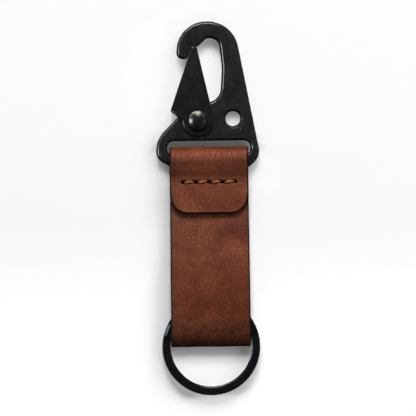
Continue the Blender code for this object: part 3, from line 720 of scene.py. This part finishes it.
plateLook = {
    "wallLean": 0.42 * mm,  # the stamped edge leans in, then rounds over
    "edgeTilts": (62, 45, 39, 34, 28, 14, 0),  # the wall's tilt and the tilt after each rounding
    "edgeRadii": (0.22 * mm, 1.15 * mm, 1.15 * mm, 1.15 * mm, 0.30 * mm, 0.30 * mm),
    "edgeAtCorner": 0.62,  # share of that at the two tightest corners, beside the notch
    "cornerRun": (0.9 * mm, 1.6 * mm),  # how far that reaches, and how softly it ends
    "cornerInset": 0.72 * mm,
    "sinkWidth": 0.62 * mm,  # the lanyard hole is countersunk steeply
    "sinkDepth": 1.05 * mm,
    "sinkLip": (0.16 * mm, 0.12 * mm),  # width and depth of its rounded lip
    "sinkReach": 0.5 * mm,
    "slotHeight": 4.4 * mm,
    "slotSideGap": 0.85 * mm,
    "ledgeGap": 0.012 * mm,
    "ledgeOverTip": 0.22 * mm,
    "ledgePastTip": 0.2 * mm,
    "ledgeLevels": (2.6 * mm, 4.6 * mm),
    "lanyardRadius": 2.32 * mm,
    "lanyardShares": (0.7485, 0.3382),
    "step": radians(3),
    "pointStep": 0.8 * mm,
    "gloss": 0.24,
    "colour": (0.0118, 0.0122, 0.0123),
    "colourWorn": (0.0152, 0.0154, 0.0153),
    "dust": (0.34, 0.30, 0.23),
    "dustWarm": (0.35, 0.22, 0.13),
    "paintedHighlightSpots": [],
}

coatingLook = {
    "peel": (0.30 * mm, 3.0, 0.6),  # size, detail and roughness of its orange-peel and its clouds
    "cloud": (3.5 * mm, 3.0, 0.5),
    "dustSize": 1.0 * mm,
    "dustReach": (0.08, 0.19),
    "dustPick": (0.78, 0.97),  # only the cells whose number is over this carry dust
    "bump": (0.008 * mm, 0.22),
}

# Corners clockwise from the hook's top left, as shares of the plate's width and length, and each one's radius
# as a share of the length
hookTopShares = ((0.2090, 1.003, 0.202), (0.761, 1.003, 0.2110))
rightLobeShares = ((1.0138, 0.078, 0.108), (0.886, 0.0, 0.065))
leftLobeShares = ((0.186, 0.0, 0.065), (0.0, 0.065, 0.087), (0.0, 0.202, 0.192))
shoulderShares = ((0.347, 0.445, 0.054),)
bayShares = ((0.625, 0.4545, 0.100), (0.649, 0.686, 0.43), (0.617, 0.893, 0.066), (0.498, 0.887, 0.046))
notchShares = ((0.4175, 0.8345, 0.018), (0.3162, 0.8405, 0.0195))
noseShares = ((0.3162, 0.751, 0.018), (0.2090, 0.7435, 0.042))
gateStopShares = (0.3162, 0.7595)


def platePoint(xShare, yShare):
    size = plateHigh - plateLow
    return Vector((plateLow.x + xShare * size.x, plateLow.y + yShare * size.y))


def plateCorner(corner):
    return platePoint(*corner[:2])


def plateLoop():
    shares = hookTopShares + rightLobeShares + leftLobeShares + shoulderShares
    shares += bayShares + notchShares + noseShares
    length = plateHigh.y - plateLow.y
    return roundedLoop([(*platePoint(x, y), radius * length) for x, y, radius in shares], plateLook["step"])


def makeCoating(name, look):  # black coating with a fine orange-peel, pale dust and painted highlights at listed spots
    finish = Finish(name, {"Specular IOR Level": 0.5, "Metallic": 0.0})
    coat = coatingLook
    place = finish.place()
    peel, cloud = [finish.noise(place, *coat[name]) for name in ("peel", "cloud")]
    seed = finish.cells(place, coat["dustSize"], output="Color")
    near = finish.cells(place, coat["dustSize"])
    pick, warm = [finish.split("Color", seed, part) for part in (0, 1)]
    dust = (1.0 - finish.spread(near, *coat["dustReach"])) * finish.spread(pick, *coat["dustPick"])
    colour = finish.mix(finish.spread(cloud + peel * 0.5, 0.55, 0.95), look["colour"], look["colourWorn"])
    colour = finish.mix(dust, colour, finish.mix(warm, look["dust"], look["dustWarm"]))
    # painted highlights: on the gate, small bright spots at its tip and along its lower left edge, broken up
    # by the orange-peel
    for spot, reach in look["paintedHighlightSpots"]:
        away = finish.length((place - (*spot, 0.0)) * (1.0, 1.0, 0.0))
        paintedHighlight = (1.0 - finish.spread(away, reach * 0.5, reach)) * finish.spread(peel, 0.40, 0.60)
        colour = finish.mix(paintedHighlight, colour, look["paintedHighlight"])
    rough = finish.spread(cloud, 0.3, 0.7, look["gloss"], look["gloss"] + 0.06)
    normal = finish.bump(peel + dust * 0.6, *coat["bump"])
    return finish.feed(colour=colour, roughness=rough, normal=normal)


def springLegs():
    along, out = spineDirections()
    look = springLook
    rest = gateLook["spine"] - gateLook["sheet"] - look["wire"] / 2 - look["spineGap"]
    tip = rivet + out * rest + along * look["reach"]
    reach = tip - rivet
    leaveAngle = atan2(reach.y, reach.x) - acos(look["radius"] / reach.length)
    startAngle = leaveAngle - 2 * pi * look["turns"]
    leave, start = [rivet + direction(angle) * look["radius"] for angle in (leaveAngle, startAngle)]
    return leaveAngle, leave, tip, start, start + direction(startAngle - pi / 2) * look["anchor"]


def turnedAboutRivet(point, angle):
    arm = point - rivet
    return rivet + Vector((arm.x * cos(angle) - arm.y * sin(angle), arm.x * sin(angle) + arm.y * cos(angle)))


def legChannel(name, start, end, low, swing=0.0):
    # widened clockwise by the angle that the leg swings through
    along = (end - start).normalized()
    half = springLook["wire"] / 2 + springLook["gap"]
    side, past = Vector((-along.y, along.x)) * half, along * half
    corners = [start + side, end + side + past]
    corners += [turnedAboutRivet(end - side + past, -swing), turnedAboutRivet(start - side, -swing)]
    return stampedSolid(name, corners, [], low, plateHigh.z + cutOverrun)


def makeLedge(finish):  # a thin shelf in the nose's notch, behind the gate's tip
    along, out = spineDirections()
    look = plateLook
    foot = rivet + out * (gateLook["spine"] + look["ledgeGap"])
    nose, notch = plateCorner(noseShares[0]), plateCorner(notchShares[1])
    wall, start = nose.x - look["cornerInset"], nose.y + look["cornerInset"]
    roof = notch.y + look["cornerInset"]
    low = foot + along * ((start - foot.y) / along.y)
    over = notch.y - gateLook["tipGap"] + look["ledgeOverTip"]
    high = foot + along * ((over - foot.y) / along.y)
    right = high.x + gateLook["tipWidth"] + look["ledgePastTip"]
    corners = [low, high]
    corners += [Vector(place) for place in ((right, over), (right, roof), (wall, roof), (wall, start))]
    ledge = stampedSolid("noseLedge", corners, [], *look["ledgeLevels"], None, finish)
    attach(ledge, "hook")


def roundRim(radius):
    quarter = [pi / 2 * k / 8 for k in range(9)]
    return [(radius * (1 - cos(angle)), radius * (1 - sin(angle))) for angle in quarter]


def leaningRim(look, scale):  # a steep wall, then the roundings
    lean, tilts = look["wallLean"], [radians(tilt) for tilt in look["edgeTilts"]]
    section = [(lean, 0.0), (lean / 2, lean / 2 * tan(tilts[0])), (0.0, lean * tan(tilts[0]))][::-1]
    for radius, before, after in zip(look["edgeRadii"], tilts, tilts[1:]):
        inwards, down = section[-1]
        inwards += radius * (sin(before) - sin(after))
        section.append((inwards, down - radius * (cos(after) - cos(before))))
    top = section[-1][1]
    return [(inwards * scale, (down - top) * scale) for inwards, down in section]


def plateRim(point):
    look = plateLook
    if (point - platePoint(*look["lanyardShares"])).length < look["lanyardRadius"] + look["sinkReach"]:
        width, (lip, drop) = look["sinkWidth"], look["sinkLip"]
        slope = [(width * k / 4, look["sinkDepth"] * (1 - k / 4) + drop) for k in range(5)]
        return slope + [(width + lip * share, drop * (1 - share) ** 2) for share in (0.25, 0.5, 0.75, 1.0)]
    nearest = min((point - plateCorner(corner)).length for corner in (noseShares[0], notchShares[0]))
    reach, soft = look["cornerRun"]
    scale = min(1.0, look["edgeAtCorner"] + max(0.0, nearest - reach) / soft)
    return leaningRim(look, scale)


def boreCutter(name, low, high, step):
    bore = circle(rivet, rivetLook["shank"] + rivetLook["boreGap"], step)
    return stampedSolid(name, bore, [], low - cutOverrun, high + cutOverrun)


def makePlate(finish):
    look = plateLook
    low, high, step, tall = plateLow.z, plateHigh.z, look["step"], look["slotHeight"] / 2
    slotHalf = strapLook["widthAtHook"] / 2 + look["slotSideGap"] - tall
    slotY = barAxis.y + strapLook["barHeight"] / 2 + tall
    slot = slotLoop(Vector((-slotHalf, slotY)), Vector((slotHalf, slotY)), tall, step)
    lanyard = circle(platePoint(*look["lanyardShares"]), look["lanyardRadius"], step)
    outline = divided(plateLoop(), look["pointStep"])
    plate = stampedSolid("hookPlate", outline, [slot, lanyard], low, high, plateRim, finish)
    _, leave, tip, start, anchor = springLegs()
    look = springLook
    floor = high - look["pitch"] * look["turns"] - look["wire"] - 2 * look["gap"]
    pocket = circle(rivet, look["radius"] + look["wire"] / 2 + look["pocketGap"], step)
    carve(plate, [
        boreCutter("boreCutter", low, high, step),
        stampedSolid("pocketCutter", pocket, [], floor, high + cutOverrun),
        legChannel("movingLegCutter", leave, tip, high - look["wire"] - 2 * look["gap"], look["swing"]),
        legChannel("fixedLegCutter", start, anchor, floor),
    ])
    standIn(plate, "hook_plate", "hook")
    makeLedge(finish)


# Gate, folded from sheet

gateLook = {
    "sheet": 0.8 * mm,
    "spine": 9.24 * mm,  # from the rivet's axis to the outside of the folded spine
    "endRadius": 4.9 * mm,
    "tipWidth": 1.6 * mm,
    "tipGap": 0.6 * mm,
    "corner": 0.6 * mm,
    "stopGap": 0.2 * mm,
    "foldEdge": 0.22 * mm,
    "cutEdge": 0.34 * mm,
    "tipEdge": 0.14 * mm,
    "tipRun": 1.5 * mm,  # how far from the tip and from the spine their own edges reach
    "foldRun": 0.5 * mm,
    "pointStep": 1.2 * mm,
    "gloss": 0.25,
    "colour": (0.0078, 0.0091, 0.0087),
    "colourWorn": (0.0096, 0.0109, 0.0104),
    "dust": (0.10, 0.10, 0.09),
    "dustWarm": (0.12, 0.09, 0.07),
    "paintedHighlightSpots": [  # places with a painted highlight, and how far round each
        ((-11.95 * mm, 42.95 * mm), 0.60 * mm), ((-11.2 * mm, 42.3 * mm), 0.50 * mm),
        ((-10.5 * mm, 41.65 * mm), 0.45 * mm), ((-5.45 * mm, 62.7 * mm), 0.30 * mm),
        ((-4.65 * mm, 62.45 * mm), 0.22 * mm),
    ],
    "paintedHighlight": (0.30, 0.33, 0.37),
}


def spineDirections():
    stop = platePoint(*gateStopShares) - rivet
    lean = atan2(stop.y, stop.x) + acos((gateLook["spine"] + gateLook["stopGap"]) / stop.length)
    out = direction(lean)
    return Vector((out.y, -out.x)), out


def gateLoop(step):
    along, out = spineDirections()
    foot = rivet + out * gateLook["spine"]
    tipY = plateCorner(notchShares[1]).y - gateLook["tipGap"]
    tipLeft = foot + along * ((tipY - foot.y) / along.y)
    tipRight = tipLeft + Vector((gateLook["tipWidth"], 0.0))
    reach = tipRight - rivet
    edgeAngle = atan2(reach.y, reach.x) - acos(gateLook["endRadius"] / reach.length)
    corners = [(*tipLeft, gateLook["corner"]), (*tipRight, gateLook["corner"])]
    corners += [(*p, 0.0) for p in arcPoints(rivet, gateLook["endRadius"], edgeAngle, -pi - edgeAngle, step)]
    return roundedLoop(corners + [(*foot, gateLook["corner"])], step)


def gateRim(point):
    _, out = spineDirections()
    if point.y > gateHigh.y - gateLook["tipRun"]:
        return roundRim(gateLook["tipEdge"])
    toSpine = gateLook["spine"] - (point - rivet).dot(out)
    share = float(smoothShare(1.0 - toSpine / gateLook["foldRun"]))
    return roundRim(gateLook["cutEdge"] + (gateLook["foldEdge"] - gateLook["cutEdge"]) * share)


def makeGate(finish):
    low, high, sheet, spine = gateLow.z, gateHigh.z, gateLook["sheet"], gateLook["spine"]
    along, out = spineDirections()
    outline = divided(gateLoop(radians(4)), gateLook["pointStep"])
    gate = stampedSolid("gateLever", outline, [], low, high, gateRim, finish)
    inside = rivet + out * (spine - sheet)
    far = out * (-2 * spine)
    ends = [inside - along * spine, inside + along * 40 * mm]  # from below the rivet to past the tip
    hollow = [ends[0], ends[1], ends[1] + far, ends[0] + far]
    carve(gate, [
        stampedSolid("gateHollow", hollow, [], low + sheet, high - sheet),
        boreCutter("gateBore", low, high, radians(6)),
    ])
    standIn(gate, "gate_lever", "gate")


# Rivet

rivetLook = {
    "shank": 1.25 * mm,
    "boreGap": 0.12 * mm,
    "dome": 2.95 * mm,
    "domeHeight": 2.2 * mm,
    "capHeight": 1.02 * mm,
    "tail": 2.3 * mm,
    "tailHeight": 0.75 * mm,
    "tailRoundShare": 0.6,
    "cloud": (1.6 * mm, 3.0, 0.5),
    "peel": (0.22 * mm, 2.0, 0.5),
    "bump": (0.002 * mm, 0.2),
    "colour": (0.0082, 0.0092, 0.0088),
    "colourWorn": (0.0120, 0.0132, 0.0126),
}


def makeRivetFinish():
    finish = Finish("smooth black rivet", {"Specular IOR Level": 0.5})
    look = rivetLook
    cloud, peel = [finish.noise(finish.place(), *look[name]) for name in ("cloud", "peel")]
    colour = finish.mix(finish.spread(cloud, 0.4, 0.7), look["colour"], look["colourWorn"])
    rough = finish.spread(cloud, 0.3, 0.7, 0.24, 0.28)
    return finish.feed(colour=colour, roughness=rough, normal=finish.bump(peel, *look["bump"]))


def makeRivet(finish):
    look = rivetLook
    head, tail = rivetHigh.z - look["domeHeight"], rivetLow.z + look["tailHeight"]
    soft = look["tailHeight"] * look["tailRoundShare"]
    profile = [(0.0, rivetLow.z)]
    quarter = [radians(15 * k) for k in range(7)]
    profile += [(look["tail"] - soft + soft * sin(a), rivetLow.z + soft - soft * cos(a)) for a in quarter]
    profile += [(look["tail"], tail), (look["shank"], tail), (look["shank"], head)]
    cap = look["capHeight"]
    ball = (look["dome"] ** 2 + cap ** 2) / (2 * cap)
    lean = asin(look["dome"] / ball)
    profile.append((look["dome"], head))
    for k in range(40):
        angle = lean * (1 - k / 40)
        profile.append((ball * sin(angle), rivetHigh.z - ball + ball * cos(angle)))
    profile.append((0.0, rivetHigh.z))
    piece = latheSolid("gateRivet", profile, rivet, finish)
    standIn(piece, "gate_rivet", "hook")


# Gate spring

springLook = {
    "wire": 0.4 * mm,
    "radius": 1.75 * mm,
    "pitch": 0.52 * mm,
    "turns": 1.75,
    "gap": 0.2 * mm,
    "spineGap": 0.2 * mm,  # from the upper leg to the inside of the gate's spine
    "pocketGap": 0.35 * mm,
    "reach": 6.3 * mm,
    "anchor": 3.3 * mm,
    "swing": radians(18),  # the upper leg goes with the gate
    "steps": 60,
    "colour": (0.45, 0.45, 0.44),
    "drawn": (0.15 * mm, 2.0, 0.6),
    "bump": (0.01 * mm, 0.4),
}


def makeSpringFinish():
    finish = Finish("bright spring wire", {"Metallic": 1.0, "Base Color": (*springLook["colour"], 1.0)})
    drawn = finish.noise(finish.place(), *springLook["drawn"])
    rough = finish.spread(drawn, 0.3, 0.7, 0.25, 0.4)
    return finish.feed(roughness=rough, normal=finish.bump(drawn, *springLook["bump"]))


def makeSpring(finish):
    look = springLook
    leaveAngle, _, tip, _, anchor = springLegs()
    top = plateHigh.z - look["gap"] - look["wire"] / 2
    low = top - look["pitch"] * look["turns"]
    route = [Vector((*anchor, low))]
    for k in range(look["steps"] + 1):
        angle = leaveAngle - 2 * pi * look["turns"] * (1 - k / look["steps"])
        level = low + (top - low) * k / look["steps"]
        route.append(Vector((*(rivet + direction(angle) * look["radius"]), level)))
    route.append(Vector((*tip, top)))
    sections = []
    side = Vector((0, 0, 1))
    for i, place in enumerate(route):
        ahead = (route[min(i + 1, len(route) - 1)] - route[max(i - 1, 0)]).normalized()
        across = ahead.cross(side).normalized()
        up = across.cross(ahead)
        sections.append([
            place + (across * cos(pi * k / 6) + up * sin(pi * k / 6)) * (look["wire"] / 2) for k in range(12)
        ])
    spring = sweptSolid("gateSpring", sections, finish)
    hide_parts("gate_spring")
    half = look["wire"] / 2
    # The turns wind up between the legs
    low + half
    top - half
    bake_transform(spring)


# Key ring

ringLook = {
    "band": 2.6 * mm,
    "strip": 1.0 * mm,
    "innerEdge": 0.36 * mm,
    "outerEdge": 0.22 * mm,
    "stepLength": 6.0 * mm,
    "endGap": 1.2 * mm,
    "stepAngle": radians(167),
    "steps": 240,
    "colour": (0.0056, 0.0059, 0.0066),
    "colourWorn": (0.0070, 0.0074, 0.0082),
    "paintedHighlight": (0.40, 0.44, 0.54),
    "paintedHighlightTurn": (radians(344.0), radians(360.0)),  # where two thin painted highlights lie along the coil, by its step
    "paintedHighlightLines": (1.10 * mm, 0.55 * mm),
    "paintedHighlightWidth": 0.085 * mm,
    "paintedHighlightEnd": 0.05,  # how softly they end, along the turn
    "cloud": (2.5 * mm, 3.0, 0.5),
    "drawn": (0.20 * mm, 2.0, 0.6),
    "bump": (0.006 * mm, 0.5),
}


def makeRingFinish():
    finish = Finish("blue-black ring", {"Specular IOR Level": 0.5, "Specular Tint": (0.84, 0.92, 1.0, 1.0)})
    look = ringLook
    cloud, drawn = [finish.noise(finish.place(), *look[name]) for name in ("cloud", "drawn")]
    colour = finish.mix(finish.spread(cloud, 0.35, 0.7), look["colour"], look["colourWorn"])
    coil = finish.attribute("coil", "Vector")
    turn, across, up = [finish.split("XYZ", coil, part) for part in range(3)]
    # two thin painted highlights along the top of the coil, near its step
    start, end = look["paintedHighlightTurn"]
    paintedHighlight = 0.0
    for line in look["paintedHighlightLines"]:
        away = finish.node("ShaderNodeMath", {"operation": "ABSOLUTE"}, {0: across - line})
        paintedHighlight = (1.0 - finish.spread(away, look["paintedHighlightWidth"] * 0.6, look["paintedHighlightWidth"] * 1.3)) + paintedHighlight
    soft = look["paintedHighlightEnd"]
    paintedHighlight = paintedHighlight * finish.spread(turn, start, start + soft) * (1.0 - finish.spread(turn, end - soft, end))
    paintedHighlight = paintedHighlight * finish.spread(up, 0.1 * mm, 0.3 * mm)
    colour = finish.mix(paintedHighlight, colour, look["paintedHighlight"])
    rough = finish.spread(cloud + drawn * 0.3, 0.4, 0.9, 0.15, 0.22)
    return finish.feed(colour=colour, roughness=rough, normal=finish.bump(drawn, *look["bump"]))


def makeRing(finish):
    look = ringLook
    middle = ringHigh.x - look["band"] / 2
    stepTurn, endTurn = look["stepLength"] / middle, look["endGap"] / middle
    count = int((4 * pi - stepTurn - 2 * endTurn) / (2 * pi) * look["steps"])
    rise = (ringHigh.z - ringLow.z - look["strip"]) / 2
    half, thick = look["band"] / 2, look["strip"] / 2
    profile = []
    for sx, sz, start in ((1, -1, -90), (1, 1, 0), (-1, 1, 90), (-1, -1, 180)):
        edge = look["outerEdge"] if sx > 0 else look["innerEdge"]
        for k in range(7):
            angle = radians(start + 15 * k)
            profile.append((sx * (half - edge) + edge * cos(angle), sz * (thick - edge) + edge * sin(angle)))
    sections, coil = [], []
    for k in range(count + 1):
        turn = endTurn + 2 * pi * k / look["steps"]
        share = min(1.0, max(0.0, (turn - (2 * pi - stepTurn)) / stepTurn))
        level = midLevel + ease(-rise, rise, share)
        across = direction(look["stepAngle"] + turn)
        spots = [(middle + r, level + z) for r, z in profile]
        sections.append([(across.x * r, ringCentre.y + across.y * r, z) for r, z in spots])
        coil += [(turn, r, z) for r, z in profile]
    ring = sweptSolid("keyRing", sections, finish)
    addAttribute(ring, "coil", coil)
    standIn(ring, "key_ring", "ring")


# Floor, light and camera

stageLook = {
    "floorColour": (0.895, 0.895, 0.895),
    "floorNear": white,  # towards the ring end
    "glow": 0.16,  # the floor's own light round the hook, which lifts the shadows there
    "glowFrom": 27 * mm,
    "glowFull": 37 * mm,
    "patches": [  # in mm centre and reach, then softness, own light and shade
        ((0.0, 31.2), (16, 3.4), 0.2, 0.0, 0.40),
        ((0.0, 34.2), (12.5, 2.6), 0.6, 0.0, 0.28),
        ((7.8, 37.9), (3.4, 2.8), 0.6, 0.50, 0.0),
        ((0.2, 51.6), (6.5, 10.6), 0.26, 0.50, 0.0),
        ((-17.0, 53.0), (9.3, 17.0), 0.22, 0.42, 0.0),
        ((-8.0, 71.0), (9.0, 6.0), 0.45, 0.35, 0.0),
        ((-18.5, 23.0), (5.5, 6.5), 0.4, 0.26, 0.0),
        ((18.5, 22.5), (5.0, 6.0), 0.4, 0.26, 0.0),
        ((4.0, -51.5), (17, 4.6), 0.30, 0.42, 0.0),
    ],
    "floorHalf": 3.0,
    "floorDrop": 0.02 * mm,
    "nearRun": (10 * mm, -30 * mm),
    "world": 0.11,
    "cameraDistance": 600 * mm,  # above the plate's middle
    "pixelSize": 0.3145 * mm,  # at the plate's middle
    "pixels": 416,
    "aim": (-0.46 * mm, 12.19 * mm),
    "roll": radians(-0.745),
    "lampAim": (0.0, 0.01, 0.0),
    "lamps": {  # place, size, brightness and colour of what lights the surfaces
        "key": ((-0.06, 1.60, 1.777), (0.78, 1.02), 18.2, white),
        "side": ((1.38, 1.38, 1.56), (1.98, 1.38), 3.6, white),
        "fill": ((1.3, -1.5, 1.7), (1.2, 1.2), 2.3, white),
    },
    "panels": {  # and of what is only mirrored in them
        "warmLow": ((-0.08, 1.86, 1.00), (1.10, 0.80), 19.0, (1.0, 0.94, 0.84)),
        "warmSide": ((-0.98, 1.83, 0.46), (0.85, 0.30), 38.0, (1.0, 0.84, 0.68)),
        "coolSide": ((-1.70, 1.23, 0.46), (0.90, 0.30), 12.0, (0.96, 0.99, 1.0)),
        "warmHigh": ((-0.06, 1.485, 1.485), (0.9, 0.7), 4.0, (1.0, 0.94, 0.84)),
        "left": ((-1.85, 0.0, 1.03), (0.86, 0.74), 24.0, (0.93, 0.97, 1.0)),
        "highSpot": ((1.164, 1.164, 1.136), (0.28, 0.28), 6.0, white),
        "lowSpot": ((1.447, -0.242, 1.359), (0.28, 0.28), 5.0, white),
    },
}


def makeFloor():
    look = stageLook
    bm = bmesh.new()
    half = look["floorHalf"]
    bm.faces.new([bm.verts.new((x * half, y * half, 0.0)) for x, y in ((-1, -1), (1, -1), (1, 1), (-1, 1))])
    finish = Finish("pale floor", {"Roughness": 0.9, "Specular IOR Level": 0.0, "Emission Strength": 1.0})
    place = finish.place()
    y = finish.split("XYZ", place, 1)
    near = finish.spread(y, *look["nearRun"])
    glow = finish.spread(y * y, look["glowFrom"] ** 2, look["glowFull"] ** 2) * look["glow"]
    shade = 0.0
    for centre, reach, soft, light, dark in look["patches"]:
        centre, reach = [(pair[0] * mm, pair[1] * mm) for pair in (centre, reach)]
        away = finish.length((place - (*centre, 0.0)) * (1 / reach[0], 1 / reach[1], 0.0))
        inside = 1.0 - finish.spread(away, 1 - soft, 1 + soft)
        glow = glow + inside * light
        shade = inside * dark + shade
    colour = finish.mix(near, look["floorColour"], look["floorNear"]) * ((1.0 - glow) * (1.0 - shade))
    finish.feed(colour=colour, emission=glow + (0.0, 0.0, 0.0))
    floor = finishedObject("floor", bm, finish)
    floor.location.z = -look["floorDrop"]
    floor.visible_glossy = False


def addLamp(name, place, size, brightness, colour, mirrored):
    light = bpy.data.lights.new(name, "AREA")
    light.shape = "RECTANGLE"
    light.size, light.size_y = size
    light.energy = brightness * pi * size[0] * size[1]
    light.color = colour
    lamp = bpy.data.objects.new(name, light)
    bpy.context.scene.collection.objects.link(lamp)
    lamp.location = place
    aim = Vector(stageLook["lampAim"]) - Vector(place)
    lamp.rotation_euler = aim.to_track_quat("-Z", "Y").to_euler()
    lamp.visible_diffuse = not mirrored
    lamp.visible_glossy = mirrored


def makeStudio():
    world = bpy.data.worlds.new("studio")
    bpy.context.scene.world = world
    world.use_nodes = True
    sky = world.node_tree.nodes["Background"]
    sky.inputs["Color"].default_value = (*white, 1.0)
    sky.inputs["Strength"].default_value = stageLook["world"]
    world.cycles_visibility.glossy = False
    for name, lamp in stageLook["lamps"].items():
        addLamp(name, *lamp, mirrored=False)
    for name, panel in stageLook["panels"].items():
        addLamp(name, *panel, mirrored=True)
    bpy.context.scene.view_settings.view_transform = "Standard"


def makeCamera():
    look = stageLook
    camera = bpy.data.cameras.new("camera")
    camera.lens = camera.sensor_width * look["cameraDistance"] / (look["pixelSize"] * look["pixels"])
    camera.clip_start = 0.01
    eye = bpy.data.objects.new("camera", camera)
    bpy.context.scene.collection.objects.link(eye)
    eye.location = (*look["aim"], midLevel + look["cameraDistance"])
    eye.rotation_euler = (0, 0, look["roll"])
    bpy.context.scene.camera = eye


makeFloor()
makeStudio()
makeCamera()
print("stage ready")
makeStrap(makeLeather())
print("strap ready")
makeThread(makeThreadFinish())
print("stitching ready")
makePlate(makeCoating("black coated plate", plateLook))
makeGate(makeCoating("black coated gate", gateLook))
makeRivet(makeRivetFinish())
makeSpring(makeSpringFinish())
print("hook ready")
makeRing(makeRingFinish())
print("ring ready")
